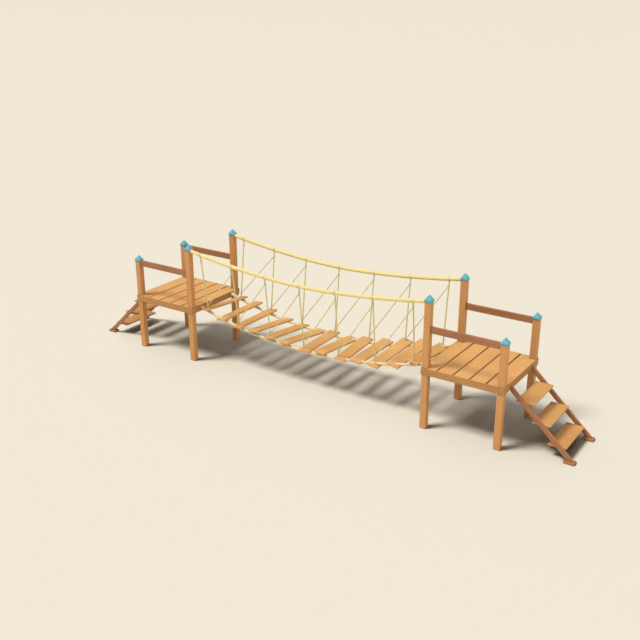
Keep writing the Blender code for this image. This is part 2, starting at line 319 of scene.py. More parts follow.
# %% [markdown]
# ## The look of planed pine
# The posts and boards are pressure-treated pine, planed and oiled. To the eye that is a warm tan with
# slightly darker growth rings, fine fibres along the grain, a satin surface, and edges that are paler
# where hands and shoes have rubbed them. Rings are about 5 mm apart on such wood. Seen from fifteen
# metres they would vanish, so they are drawn at 16 mm, and the fibres at about 5 mm across.

# %% Growth rings
RING_SPACING = 0.016
# One wave in 0.6 m along a board and in 0.11 m across it, and by how many rings it bends them
RING_WAVES = (1.6, 9.0, 9.0)
RING_BEND = 3.5


def new_finish(name):
    """A material, the function that adds nodes to it, and its shader."""
    material = bpy.data.materials.new(name)
    material.use_nodes = True
    print("finish:", name)
    return material, partial(add_node, material.node_tree), material.node_tree.nodes["Principled BSDF"]


def growth_rings(add, grain):
    waves = add("Mapping", {0: grain, "Scale": RING_WAVES})[0]
    sway = add("TexNoise", {"Vector": waves, "Scale": 1.0, "Detail": 2.0})["Fac"]
    across = add("VectorMath MULTIPLY", [grain, (0.0, 1.0, 1.0)])[0]
    distance = add("VectorMath LENGTH", [across])["Value"]
    rings = add("Math MULTIPLY", [distance, 1 / RING_SPACING])[0]
    rings = add("Math MULTIPLY_ADD", [sway, RING_BEND, rings])[0]
    rings = add("Math FRACT", [rings])[0]
    # Each ring darkens slowly and ends sharply, as early wood turns to late wood
    late = add("ValToRGB", [rings])[0]
    marks = late.node.color_ramp.elements
    marks[1].position = 0.82
    marks.new(0.97).color = (0.05, 0.05, 0.05, 1)
    return late


print("growth rings are", RING_SPACING, "m apart")

# %% Timber finishes
FIBRE_WIDTH = 0.005
FIBRE_SCALE = (2.5, 1 / FIBRE_WIDTH, 1 / FIBRE_WIDTH)
PATCH_SCALE = (1.1, 3.0, 3.0)
# How far rings, fibres and patches each take the colour from pale to deep, and rubbing takes it to worn
RING_TONE, FIBRE_TONE, PATCH_TONE, RUBBED_TONE = 0.34, 0.30, 0.34, 0.5
# Noise keeps to the middle of its range, which is stretched
STRETCH = {"From Min": 0.3, "From Max": 0.7}


def timber_finish(name, pale, deep, worn, roughness):
    material, add, shader = new_finish(name)
    grain = add("Attribute", attribute_name="grain")["Vector"]
    ring_part = add("Math MULTIPLY", [growth_rings(add, grain), RING_TONE])[0]
    fine = add("Mapping", {0: grain, "Scale": FIBRE_SCALE})[0]
    fibres = add("TexNoise", {"Vector": fine, "Scale": 1.0, "Detail": 3.0})["Fac"]
    fibre_part = add("MapRange", {"Value": fibres, **STRETCH, "To Max": FIBRE_TONE})[0]
    wide = add("Mapping", {0: grain, "Scale": PATCH_SCALE})[0]
    patches = add("TexNoise", {"Vector": wide, "Scale": 1.0, "Detail": 1.0})["Fac"]
    patch_part = add("MapRange", {"Value": patches, **STRETCH, "To Max": PATCH_TONE})[0]
    amount = add("Math ADD", [ring_part, fibre_part])[0]
    amount = add("Math ADD", [amount, patch_part])[0]
    colour = add("Mix", {0: amount, 6: linear(pale), 7: linear(deep)}, data_type="RGBA")[2]
    # Rubbed edges are paler, most of all where the fibres stand out
    edge = add("Attribute", attribute_name="edge")["Fac"]
    rub = add("MapRange", {"Value": edge, "From Min": 0.02, "From Max": 0.30, "To Max": RUBBED_TONE})[0]
    rub = add("Math MULTIPLY", [rub, fibres])[0]
    colour = add("Mix", {0: rub, 6: colour, 7: linear(worn)}, data_type="RGBA")[2]
    gloss = add("MapRange", {"Value": fibres, **STRETCH, "To Min": roughness - 0.08,
                             "To Max": roughness + 0.1})[0]
    relief = add("Math SUBTRACT", [fibre_part, ring_part])[0]
    bump = add("Bump", {"Height": relief, "Strength": 0.5, "Distance": 0.0012})[0]
    feed(shader, {"Base Color": colour, "Roughness": gloss, "Normal": bump})
    return material


planed_pine = timber_finish("planed_pine", "E6A86C", "C88C50", "EFC090", 0.62)
frame_pine = timber_finish("darker_planed_pine", "CE965F", "B27D47", "D6AB80", 0.62)
deck_pine = timber_finish("decking_pine", "F4BC7A", "D69F60", "FAD29C", 0.60)
tread_pine = timber_finish("worn_tread_pine", "DEA868", "C28E54", "E8C08C", 0.60)
stained_pine = timber_finish("red_brown_stained_pine", "BE8258", "9A6642", "CE9E76", 0.58)

# %% [markdown]
# ## Posts
# Four posts of 100 mm square carry each platform. The pair beside the bridge is taller, to hold the hand
# ropes. Each one is a board stood on end.

# %% Stand the posts
post_nodes = [f"{kind}_post_{side}_{row}" for side, row in CORNERS for kind in KINDS]
boards_in_nodes("posts", post_nodes, UPRIGHT, rounding=0.006, finish=planed_pine)

# %% [markdown]
# ## Platform frames and decks
# A ring of thin boards ties the posts together and hides the ends of the deck boards. The two long
# boards run past the ends of the short ones, as a joiner would cut them, because that leaves end grain
# on one face only. Five wide deck boards lie across three joists, a finger's width apart for rain.

# %% Frames
FRAME_BOARD = 0.011
FRAME_JOINT_GAP = 0.0003
# The boards' faces lie this far inside the solid's, which leaves room for the screw heads
HEAD_ROOM = 0.001
frames = []
for side in SIDES:
    low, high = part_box(f"frame_{side}")
    low, high = low + Vector((HEAD_ROOM, HEAD_ROOM, 0)), high - Vector((HEAD_ROOM, HEAD_ROOM, 0))
    for y0, y1 in ((low.y, low.y + FRAME_BOARD), (high.y - FRAME_BOARD, high.y)):
        frames.append(board_in_box((low.x, y0, low.z), (high.x, y1, high.z), ALONG_X))
    inset = FRAME_BOARD + FRAME_JOINT_GAP
    for x0, x1 in ((low.x, low.x + FRAME_BOARD), (high.x - FRAME_BOARD, high.x)):
        frames.append(board_in_box((x0, low.y + inset, low.z), (x1, high.y - inset, high.z), ALONG_Y))
frames_piece = make_boards("platform_frames", frames, rounding=0.003, finish=frame_pine)
seat(frames_piece, ["frame_left", "frame_right"])

# %% Deck boards and joists
DECK_BOARDS = 5
DECK_BOARD_THICKNESS = 0.040
DECK_BOARD_GAP = 0.028
JOIST_WIDTH = 0.045
JOIST_INSET = 0.05
JOIST_SHORT_BY = 0.1


def deck_layout(side):
    """How far from mid-span the first deck board starts, the pitch of the boards, and the joists' Y."""
    low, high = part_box(f"deck_{side}")
    joists_y = (low.y + JOIST_INSET, 0.0, high.y - JOIST_INSET)
    return min(abs(low.x), abs(high.x)), (high.x - low.x) / DECK_BOARDS, joists_y


decks = []
for side, sx in SIDES.items():
    low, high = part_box(f"deck_{side}")
    under = high.z - DECK_BOARD_THICKNESS
    inner, pitch, joists_y = deck_layout(side)
    for index in range(DECK_BOARDS):
        start = inner + index * pitch
        end = start + pitch - (DECK_BOARD_GAP if index < DECK_BOARDS - 1 else 0)
        x0, x1 = sorted((sx * start, sx * end))
        decks.append(board_in_box((x0, low.y, under), (x1, high.y, high.z), ALONG_Y))
    for y in joists_y:
        decks.append(board_in_box((low.x + JOIST_SHORT_BY, y - JOIST_WIDTH / 2, low.z),
                                  (high.x - JOIST_SHORT_BY, y + JOIST_WIDTH / 2, under), ALONG_X))
decks_piece = make_boards("decks", decks, rounding=0.004, finish=deck_pine)
seat(decks_piece, ["deck_left", "deck_right"])

# %% [markdown]
# ## Rails and stairs
# The side rails and the stair strings are stained a redder brown than the rest. Each string is one plank
# at 43 degrees, sawn upright against the frame and level on its foot block. The recipe's saw cuts give
# those two slants: they say how far an end slides along the board for each metre across it.

# %% Rails
rail_nodes = [f"rail_{side}_{row}" for side, row in CORNERS]
boards_in_nodes("rails", rail_nodes, ALONG_X, rounding=0.005, finish=stained_pine)

# %% Stair strings and their feet
STAIR_SLOPE = math.radians(42.7)
STRING_DEPTH = 0.068
STRING_THICKNESS = 0.040
STRING_Y = 0.4125
FOOT_HEIGHT = 0.036
FOOT_LENGTH = 0.160
STRING_SINK = 0.009
# From a string's middle line to its edge, measured straight up and measured level
HALF_UPRIGHT = STRING_DEPTH / 2 / math.cos(STAIR_SLOPE)
HALF_LEVEL = STRING_DEPTH / 2 / math.sin(STAIR_SLOPE)
SLANTS = (-math.tan(STAIR_SLOPE), 1 / math.tan(STAIR_SLOPE))

strings, feet, string_nodes = [], [], []
for side, row in CORNERS:
    sx = SIDES[side]
    string_nodes.append(f"stringer_{side}_{row}")
    low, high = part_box(string_nodes[-1])
    inner, outer = sorted((abs(low.x), abs(high.x)))
    y = (low.y + high.y) / 2
    bottom_z = FOOT_HEIGHT - STRING_SINK
    top = Vector((inner, y, high.z - HALF_UPRIGHT))
    bottom = Vector((inner + (high.z - bottom_z) / math.tan(STAIR_SLOPE) - HALF_LEVEL, y, bottom_z))
    middle = (top + bottom) / 2
    turn = Matrix.Rotation(STAIR_SLOPE, 3, "Y")
    if sx < 0:
        middle.x = -middle.x
        turn = Matrix.Rotation(math.radians(180), 3, "Z") @ turn
    size = ((bottom - top).length, STRING_THICKNESS, STRING_DEPTH)
    strings.append(board(middle, size, turn, SLANTS))
    x0, x1 = sorted((sx * (outer - FOOT_LENGTH), sx * outer))
    feet.append(board_in_box((x0, low.y, 0.0), (x1, high.y, FOOT_HEIGHT), ALONG_X))
strings_piece = make_boards("stair_strings", strings + feet, rounding=0.005, finish=stained_pine)
seat(strings_piece, string_nodes)

# %% Treads
TREADS = 3
tread_nodes = [f"tread_{side}_{index + 1}" for side in SIDES for index in range(TREADS)]
boards_in_nodes("treads", tread_nodes, ALONG_Y, rounding=0.010, finish=tread_pine)

# %% [markdown]
# ## The curve of a rope
# A rope that carries planks hangs in a curve close to a parabola. Its height at a point is the height in
# the middle plus the rise to its ends, scaled by the distance from the middle to some power near 2.
# The planks, the cords and the ropes all read their heights from these two curves.

# %% Rope curves
POST_Y = 0.595
HAND_ROPE = {"half": 2.2397, "middle": 1.819, "rise": 0.201, "power": 1.8, "radius": 0.032, "across": POST_Y}
LOWER_ROPE = {"half": 2.2274, "middle": 0.645, "rise": 0.322, "power": 2.1, "radius": 0.025, "across": 0.418}


def rope_z(rope, x):
    return rope["middle"] + rope["rise"] * abs(x / rope["half"]) ** rope["power"]


print("hand rope", rope_z(HAND_ROPE, 0), "to", rope_z(HAND_ROPE, HAND_ROPE["half"]))

# %% [markdown]
# ## Walking planks
# Thirteen loose planks are threaded on the lower ropes. Feet and the sway of the bridge have turned and
# tipped each one a little, and that is what makes it look like a rope bridge, so each plank
# has its own turn, rise and tilt in degrees, as in the solids.

# %% Planks
PLANK_PITCH = 0.3385
PLANK_SIZE = (0.994, 0.198, 0.034)
PLANK_SKEW = (4, 4, 2, 4, 3, 7, -2, 3, -4, 2, 6, 3, 3)
PLANK_RISE = (-2.5, 2.3, 1.1, -4.3, -4.4, -4.0, 0, -3.6, 1.2, 2.2, 7.5, 4.5, -3.2)
PLANK_TILT = (12, 9, 8, 6, 4, 2, -1, -4, -5, -5, -8, -13, -9)
PLANK_LIFT_MM = (35, 40, 41, 41, 37, 35, 33, 35, 29, 35, 31, 34, 24)
PLANKS = len(PLANK_SKEW)


def plank_x(index):
    return (index - PLANKS // 2) * PLANK_PITCH


planks = []
for index in range(PLANKS):
    skew = Matrix.Rotation(math.radians(-PLANK_SKEW[index]), 3, "Z")
    rise = Matrix.Rotation(math.radians(PLANK_RISE[index]), 3, "X")
    tilt = Matrix.Rotation(math.radians(-PLANK_TILT[index]), 3, "Y")
    x = plank_x(index)
    z = rope_z(LOWER_ROPE, x) + PLANK_LIFT_MM[index] / 1000
    planks.append(board((x, 0, z), PLANK_SIZE, skew @ rise @ tilt @ ALONG_Y))
planks_piece = make_boards("walking_planks", planks, rounding=0.005, finish=deck_pine)
seat(planks_piece, [f"plank_{index + 1:02d}" for index in range(PLANKS)])

# %% [markdown]
# ## Plaited rope
# The thick ropes are sixteen-plait: eight strands wind one way and eight the other, each passing over
# and under. Modelling every strand would take a million faces. The recipe makes a tube on the rope's
# curve and presses the plait into it instead, as a field of small pillows. Two numbers, one for each
# winding, say which strand covers a point, and they are kept for the material.

# %% The pillows of a plait
PLAIT_STRANDS = 8
PLAIT_STEPS = 600
FACES_A_STRAND = 4


def plait_windings(add, place):
    """Two numbers that grow by 1 from strand to strand, one for each way of winding."""
    turns = add("Math MULTIPLY", [place["X"], PLAIT_STRANDS])[0]
    along = add("Math MULTIPLY", [place["Y"], PLAIT_STEPS / FACES_A_STRAND])[0]
    return [add("Math " + way, [along, turns])[0] for way in ("ADD", "SUBTRACT")]


def pillows(add, windings):
    """Where two windings cross, a pillow is 1 high in the middle and 0 at the edges."""
    waves = []
    for winding in windings:
        wave = add("Math MULTIPLY", [winding, math.pi])[0]
        wave = add("Math SINE", [wave])[0]
        waves.append(add("Math ABSOLUTE", [wave])[0])
    both = add("Math MULTIPLY", waves)[0]
    return add("Math SQRT", [both])[0]


print("a rope has", 2 * PLAIT_STRANDS, "strands")

# %% The recipe for a plaited rope
ROPE_END = 0.49999
WELD_DISTANCE = 0.00005


def rope_line(add, given, along):
    """X, height, slope and stretch of a rope's middle line, where along goes from -1 to 1."""
    x = add("Math MULTIPLY", [along, given["Half span"]])[0]
    share = add("Math ABSOLUTE", [along])[0]
    height = add("Math POWER", [share, given["Power"]])[0]
    height = add("Math MULTIPLY_ADD", [height, given["Rise"], given["Middle height"]])[0]
    steep = add("Math SUBTRACT", [given["Power"], 1.0])[0]
    steep = add("Math POWER", [share, steep])[0]
    steep = add("Math MULTIPLY", [steep, given["Power"]])[0]
    steep = add("Math MULTIPLY", [steep, given["Rise"]])[0]
    steep = add("Math DIVIDE", [steep, given["Half span"]])[0]
    way = add("Math SIGN", [along])[0]
    slope = add("Math MULTIPLY", [steep, way])[0]
    stretch = add("Math MULTIPLY_ADD", [slope, slope, 1.0])[0]
    stretch = add("Math SQRT", [stretch])[0]
    return x, height, slope, stretch


def plaited_rope_tree():
    sizes = ("Across", "Half span", "Middle height", "Rise", "Power", "Radius", "Relief")
    tree, add, given = new_tree("plaited rope", sizes)
    grid = add("GeometryNodeMeshGrid", {"Size X": 1.0, "Size Y": 1.0, "Vertices Y": PLAIT_STEPS + 1,
                                        "Vertices X": FACES_A_STRAND * PLAIT_STRANDS + 1})["Mesh"]
    place = add("SeparateXYZ", [add("GeometryNodeInputPosition")[0]])
    windings = plait_windings(add, place)
    plait = add("CombineXYZ", windings)[0]
    mesh = add("GeometryNodeStoreNamedAttribute", {"Geometry": grid, "Name": "plait", "Value": plait},
               data_type="FLOAT_VECTOR", domain="CORNER")[0]
    hollow = add("Math SUBTRACT", [1.0, pillows(add, windings)])[0]
    hollow = add("Math MULTIPLY", [hollow, given["Relief"]])[0]
    radius = add("Math SUBTRACT", [given["Radius"], hollow])[0]
    # The ring at each end shrinks to a point, which closes the rope
    inside = add("Math ABSOLUTE", [place["Y"]])[0]
    inside = add("Math LESS_THAN", [inside, ROPE_END])[0]
    radius = add("Math MULTIPLY", [radius, inside])[0]
    # Rings stand square to the rope's middle line, so their upper half leans with its slope
    along = add("Math MULTIPLY", [place["Y"], 2.0])[0]
    x, height, slope, stretch = rope_line(add, given, along)
    angle = add("Math MULTIPLY", [place["X"], math.tau])[0]
    side_part, up_part = add("Math COSINE", [angle])[0], add("Math SINE", [angle])[0]
    side_part = add("Math MULTIPLY", [radius, side_part])[0]
    up_part = add("Math MULTIPLY", [radius, up_part])[0]
    up_part = add("Math DIVIDE", [up_part, stretch])[0]
    lean = add("Math MULTIPLY", [up_part, slope])[0]
    x = add("Math SUBTRACT", [x, lean])[0]
    y = add("Math ADD", [given["Across"], side_part])[0]
    z = add("Math ADD", [height, up_part])[0]
    final = add("CombineXYZ", [x, y, z])[0]
    mesh = add("GeometryNodeSetPosition", {"Geometry": mesh, "Position": final})[0]
    mesh = add("GeometryNodeMergeByDistance", {"Geometry": mesh, "Distance": WELD_DISTANCE})[0]
    mesh = add("GeometryNodeSetShadeSmooth", {"Geometry": mesh, "Shade Smooth": True})[0]
    return end_tree(tree, add, given, mesh)


plaited_rope = plaited_rope_tree()

# %% [markdown]
# ## The look of spun rope
# The rope is spun from matt polypropylene yarn in a pale straw colour. It has no gloss. To the eye it
# is soft and slightly fuzzy, with fine yarns that lie along whichever strand is on top. The dips between
# strands and yarns are darker where shade falls, and that shade is painted into the colour. The yarns are
# about 3 mm thick.

# %% Rope finishes
YARNS = 6
ROPE_ROUGHNESS = 0.85


def plaited_finish(name, pale, shadow):
    material, add, shader = new_finish(name)
    plait = add("Attribute", attribute_name="plait")["Vector"]
    wound = add("SeparateXYZ", [plait])
    parts = [add("Math FRACT", [wound[axis]])[0] for axis in "XY"]
    # The strand on top changes from one cell to the next, like the squares of a chessboard
    cells = [add("Math FLOOR", [wound[axis]])[0] for axis in "XY"]
    cells = add("Math ADD", cells)[0]
    cells = add("Math ABSOLUTE", [cells])[0]
    on_top = add("Math MODULO", [cells, 2.0])[0]
    width = add("Mix", {0: on_top, 2: parts[0], 3: parts[1]}, data_type="FLOAT")[0]
    yarns = add("Math MULTIPLY", [width, math.pi * YARNS])[0]
    yarns = add("Math SINE", [yarns])[0]
    yarns = add("Math ABSOLUTE", [yarns])[0]
    place = add("TexCoord")["Object"]
    fuzz = add("TexNoise", {"Vector": place, "Scale": 160.0, "Detail": 3.0})["Fac"]
    # Pillows make most of the relief, and fuzz and yarns about a third of it each
    height = add("Math MULTIPLY_ADD", [fuzz, 0.3, pillows(add, parts)])[0]
    height = add("Math MULTIPLY_ADD", [yarns, 0.35, height])[0]
    # The colour is painted shade: darker in the dips of the plait and between the yarns, where shade falls,
    # and the fuzz gives the rope's own uneven tone
    shade_and_fuzz = add("MapRange", {"Value": height, "From Min": 0.15, "From Max": 1.25})[0]
    colour = add("Mix", {0: shade_and_fuzz, 6: linear(shadow), 7: linear(pale)}, data_type="RGBA")[2]
    bump = add("Bump", {"Height": height, "Strength": 0.6, "Distance": 0.0015})[0]
    feed(shader, {"Base Color": colour, "Normal": bump, "Roughness": ROPE_ROUGHNESS, "Sheen Weight": 0.15})
    return material


# Each rope's second colour is the painted shade in the dips between strands and yarns
straw_plait = plaited_finish("straw_coloured_plaited_rope", "FFECAE", "F0D288")
cream_plait = plaited_finish("cream_plaited_rope", "FAE5B8", "E6C992")

# %% Hang the ropes
RELIEF_SHARE = 0.1
for kind, rope, finish in (("hand_rope", HAND_ROPE, straw_plait), ("lower_rope", LOWER_ROPE, cream_plait)):
    for row, sy in ROWS.items():
        sizes = {"Across": sy * rope["across"], "Half span": rope["half"], "Middle height": rope["middle"],
                 "Rise": rope["rise"], "Power": rope["power"], "Radius": rope["radius"],
                 "Relief": RELIEF_SHARE * rope["radius"]}
        carrier = carrier_of([(0, 0, 0)])
        piece = freeze(f"{kind}_plait_{row}", carrier, plaited_rope, {**sizes, "Finish": finish})
        seat(piece, [f"{kind}_{row}"])

# %% [markdown]
# ## Laid cord and whippings
# The sides are closed by thinner cord of three strands, laid together like a candy cane. A hanger
# drops from the hand rope at every second plank, and a diagonal runs from low on one hanger to high
# on the next. Where two ropes meet, a whipping holds them: a few tight turns of thin twine. Both are
# strands wound round a straight line, so one recipe makes them, with three strands wound slowly for
# the cord and one wound tightly for a whipping.

# %% The recipe for wound strands
def wound_strands_tree():
    sizes = ("Strands", "Coil radius", "Strand radius", "Turn length", "Steps a turn")
    tree, add, given = new_tree("wound strands", sizes)
    lines = add("GeometryNodeMeshToCurve", {"Mesh": given["Carrier"]})[0]
    step = add("Math DIVIDE", [given["Turn length"], given["Steps a turn"]])[0]
    lines = add("GeometryNodeResampleCurve", {"Curve": lines, "Length": step}, mode="LENGTH")[0]
    copies = add("GeometryNodeDuplicateElements", {"Geometry": lines, "Amount": given["Strands"]},
                 domain="SPLINE")
    share = add("Math DIVIDE", [copies["Duplicate Index"], given["Strands"]])[0]
    along = add("GeometryNodeSplineParameter")["Length"]
    angle = add("Math DIVIDE", [along, given["Turn length"]])[0]
    angle = add("Math ADD", [angle, share])[0]
    angle = add("Math MULTIPLY", [angle, math.tau])[0]
    normal, tangent = add("GeometryNodeInputNormal")[0], add("GeometryNodeInputTangent")[0]
    out = add("VectorRotate", {"Vector": normal, "Axis": tangent, "Angle": angle})[0]
    out = add("VectorMath SCALE", {0: out, "Scale": given["Coil radius"]})[0]
    strands = add("GeometryNodeSetPosition", {"Geometry": copies[0], "Offset": out})[0]
    circle = add("GeometryNodeCurvePrimitiveCircle", {"Resolution": 6, "Radius": given["Strand radius"]})[0]
    mesh = add("GeometryNodeCurveToMesh", {"Curve": strands, "Profile Curve": circle, "Fill Caps": True})[0]
    mesh = add("GeometryNodeSetShadeSmooth", {"Geometry": mesh, "Shade Smooth": True})[0]
    return end_tree(tree, add, given, mesh)


wound_strands = wound_strands_tree()

# %% Cord finish
def mottle(add, scale, detail, deep, pale):
    """A noise on Object coordinates, and the colour that it takes from deep to pale."""
    place = add("TexCoord")["Object"]
    noise = add("TexNoise", {"Vector": place, "Scale": scale, "Detail": detail})["Fac"]
    return noise, add("Mix", {0: noise, 6: linear(deep), 7: linear(pale)}, data_type="RGBA")[2]


def cord_finish(name, pale, deep):
    material, add, shader = new_finish(name)
    fuzz, colour = mottle(add, 220.0, 3.0, deep, pale)
    bump = add("Bump", {"Height": fuzz, "Strength": 0.6, "Distance": 0.001})[0]
    feed(shader, {"Base Color": colour, "Normal": bump, "Roughness": ROPE_ROUGHNESS})
    return material


straw_cord = cord_finish("straw_coloured_laid_cord", "FCEEAC", "ECDA8C")

# %% Side nets
HANGERS = 7
HANGER_SHIFT = 0.030
DIAGONAL_INSET = 0.10
HANGER_RADIUS = 0.012
DIAGONAL_RADIUS = 0.009
# As shares of a cord's radius. Three strands of this size fill its round outline.
COIL_SHARE, STRAND_SHARE, TURN_SHARE = 0.536, 0.48, 7.5


def wind(name, lines, sizes):
    """Wind strands round lines. Each line is its two ends, and becomes one edge of the carrier."""
    points = [end for line in lines for end in line]
    carrier = carrier_of(points, [(2 * i, 2 * i + 1) for i in range(len(lines))])
    return freeze(name, carrier, wound_strands, {**sizes, "Finish": straw_cord})


def laid_cord(name, lines, radius):
    return wind(name, lines, {"Strands": 3.0, "Coil radius": COIL_SHARE * radius, "Steps a turn": 8.0,
                              "Strand radius": STRAND_SHARE * radius, "Turn length": TURN_SHARE * radius})


def rope_point(rope, sy, x):
    return Vector((x, sy * rope["across"], rope_z(rope, x)))


hangers = {}
for row, sy in ROWS.items():
    places = [plank_x(2 * index) for index in range(HANGERS)]
    hangers[row] = [(rope_point(HAND_ROPE, sy, x), rope_point(LOWER_ROPE, sy, x + sy * HANGER_SHIFT))
                    for x in places]
    diagonals = []
    for (upper, lower), (next_upper, next_lower) in zip(hangers[row], hangers[row][1:]):
        diagonals.append((lower.lerp(upper, DIAGONAL_INSET), next_upper.lerp(next_lower, DIAGONAL_INSET)))
    seat(laid_cord(f"hangers_{row}", hangers[row], HANGER_RADIUS), [f"side_net_{row}"])
    seat(laid_cord(f"diagonals_{row}", diagonals, DIAGONAL_RADIUS), [f"side_net_{row}"])

# %% Whippings where the ropes and cords meet
TWINE_RADIUS = 0.0025
HALF_ROPE_WHIPPING = 0.015
HALF_CORD_WHIPPING = 0.011
CORD_COIL_RADIUS = HANGER_RADIUS + 0.002


def rope_piece(rope, sy, x):
    """The short stretch of a rope's middle line that a whipping covers."""
    return tuple(rope_point(rope, sy, x + step) for step in (-HALF_ROPE_WHIPPING, HALF_ROPE_WHIPPING))


for row, sy in ROWS.items():
    cord_coils = []
    for upper, lower in hangers[row]:
        reach = (upper - lower).normalized() * HALF_CORD_WHIPPING
        for share in (DIAGONAL_INSET, 1 - DIAGONAL_INSET):
            middle = lower.lerp(upper, share)
            cord_coils.append((middle - reach, middle + reach))
    upper_coils = [rope_piece(HAND_ROPE, sy, upper.x) for upper, _ in hangers[row]]
    lower_coils = [rope_piece(LOWER_ROPE, sy, lower.x) for _, lower in hangers[row]]
    for name, lines, radius in (("hand_rope", upper_coils, HAND_ROPE["radius"]),
                                ("lower_rope", lower_coils, LOWER_ROPE["radius"]),
                                ("hanger", cord_coils, CORD_COIL_RADIUS)):
        sizes = {"Strands": 1.0, "Coil radius": radius, "Strand radius": TWINE_RADIUS,
                 "Turn length": 2 * TWINE_RADIUS, "Steps a turn": 12.0}
        piece = wind(f"{name}_whippings_{row}", lines, sizes)
        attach(piece, "root")

# %% [markdown]
# ## Post caps
# Each post wears a moulded plastic cap, which keeps rain out of the end grain: a pyramid on a skirt that
# laps 29 mm down over the post. The cap is drawn once, as rings of a square with soft corners, and a short
# recipe sets a copy on every post.

# %% One cap
CAP_INSIDE = 0.0505
CAP_LAP = 0.029
CAP_SHOULDER = 0.004
CAP_CORNER = 0.007
CORNER_POINTS = 3


def shape_of_rings(name, rings):
    """A closed shape: walls from each ring of points to the next, and a face over the first and last."""
    around = len(rings[0])
    points = [point for ring in rings for point in ring]
    faces = []
    for start in range(0, len(points) - around, around):
        for i in range(around):
            j = (i + 1) % around
            faces.append((start + i, start + j, start + around + j, start + around + i))
    faces.append(tuple(range(around))[::-1])
    faces.append(tuple(range(len(points) - around, len(points))))
    print(name, "has", len(faces), "faces")
    return mesh_object(name, points, faces=faces)


def square_ring(size, z):
    """A square with soft corners."""
    soft = min(CAP_CORNER, size * 0.45)
    ring = []
    for quarter in range(4):
        cx = (size - soft) * (1 if quarter in (0, 3) else -1)
        cy = (size - soft) * (1 if quarter in (0, 1) else -1)
        for part in range(CORNER_POINTS):
            angle = math.radians(90 * (quarter + part / (CORNER_POINTS - 1)))
            ring.append((cx + soft * math.cos(angle), cy + soft * math.sin(angle), z))
    return ring


def cap_shape(half, skirt, height):
    """Rings from the seat on the post down the inside, round the foot of the skirt and up to the tip."""
    inside = ((CAP_INSIDE, 0.0), (CAP_INSIDE, -CAP_LAP))
    foot = ((half - 0.001, -CAP_LAP), (half, 0.001 - CAP_LAP))
    shoulder = ((half, skirt - 0.003), (half - 0.001, skirt - 0.001), (half - 0.003, skirt + 0.0008))
    slope = ((half * 0.55, skirt + (height - skirt) * 0.45),)
    tip = ((0.006, height - 0.0065), (0.003, height - 0.0022), (0.001, height - 0.0003))
    profile = inside + foot + shoulder + slope + tip
    shape = shape_of_rings("cap shape", [square_ring(size, z) for size, z in profile])
    shape.data.shade_smooth()
    return shape


low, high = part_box("tall_cap_left_near")
one_cap = cap_shape((high.x - low.x) / 2, CAP_SHOULDER, high.z - low.z)

# %% The recipe that sets copies on points
def copies_tree():
    tree, add, given = new_tree("copies on points", [], shape=True)
    shape = add("GeometryNodeObjectInfo", {"Object": given["Shape"]})["Geometry"]
    turn = add("GeometryNodeInputNamedAttribute", {"Name": "turn"}, data_type="FLOAT_VECTOR")[0]
    turn = add("FunctionNodeEulerToRotation", [turn])[0]
    mesh = add("GeometryNodeInstanceOnPoints",
               {"Points": given["Carrier"], "Instance": shape, "Rotation": turn})[0]
    return end_tree(tree, add, given, mesh)


def set_copies(name, shape, points, turns, finish):
    """Set a copy of a shape on each point, turned by three angles, and take the shape itself away."""
    carrier = carrier_of(points, turn=turns)
    piece = freeze(name, carrier, copies_on_points, {"Finish": finish, "Shape": shape})
    bpy.data.objects.remove(shape)
    return piece


copies_on_points = copies_tree()

# %% [markdown]
# ## The look of a plastic cap
# The caps are injection-moulded polyethylene in a teal blue. Years of sun have taken its gloss and left
# a matt, chalky surface with a very fine grain and a faint, paler bloom in patches.

# %% Cap finish
def cap_finish():
    material, add, shader = new_finish("moulded_blue_polyethylene")
    bloom, colour = mottle(add, 28.0, 4.0, "5AAEC2", "6ABACC")
    gloss = add("MapRange", {"Value": bloom, "To Min": 0.62, "To Max": 0.78})[0]
    place = add("TexCoord")["Object"]
    pits = add("TexNoise", {"Vector": place, "Scale": 900.0, "Detail": 1.0})["Fac"]
    bump = add("Bump", {"Height": pits, "Strength": 0.15, "Distance": 0.0005})[0]
    feed(shader, {"Base Color": colour, "Roughness": gloss, "Normal": bump, "IOR": 1.51})
    return material


blue_polyethylene = cap_finish()

# %% Cap every post
cap_nodes = [f"{kind}_cap_{side}_{row}" for side, row in CORNERS for kind in KINDS]
cap_points = []
for node in cap_nodes:
    low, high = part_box(node)
    cap_points.append(((low.x + high.x) / 2, (low.y + high.y) / 2, low.z))
caps_piece = set_copies("post_caps", one_cap, cap_points, [(0, 0, 0)] * len(cap_points), blue_polyethylene)
seat(caps_piece, cap_nodes)

# %% [markdown]
# ## Screws
# The boards are held by zinc-plated screws with low domed heads, 10 mm across and countersunk. A head
# is turned on a lathe: a profile of radius against height, swept round. It has eight sides only,
# because there are more than a hundred of them. The same copying recipe sets them out, and each point
# carries the turn that faces its head away from the timber.

# %% One screw head
SCREW_PROFILE = ((0.0046, -0.002), (0.0050, 0.0001), (0.0038, 0.0007), (0.0018, 0.0009), (0.0015, -0.0004))
SCREW_SIDES = 8


def screw_ring(radius, z):
    angles = [math.tau * k / SCREW_SIDES for k in range(SCREW_SIDES)]
    return [(radius * math.cos(angle), radius * math.sin(angle), z) for angle in angles]


one_screw = shape_of_rings("screw shape", [screw_ring(radius, z) for radius, z in SCREW_PROFILE])

# %% Screws in the decks and frames
DECK_SCREW_STEP = 0.07
FRAME_SCREW_INSET = 0.03
FACE_TURNS = {"up": (0, 0, 0), "near": (math.radians(90), 0, 0), "far": (math.radians(-90), 0, 0),
              "left": (0, math.radians(-90), 0), "right": (0, math.radians(90), 0)}


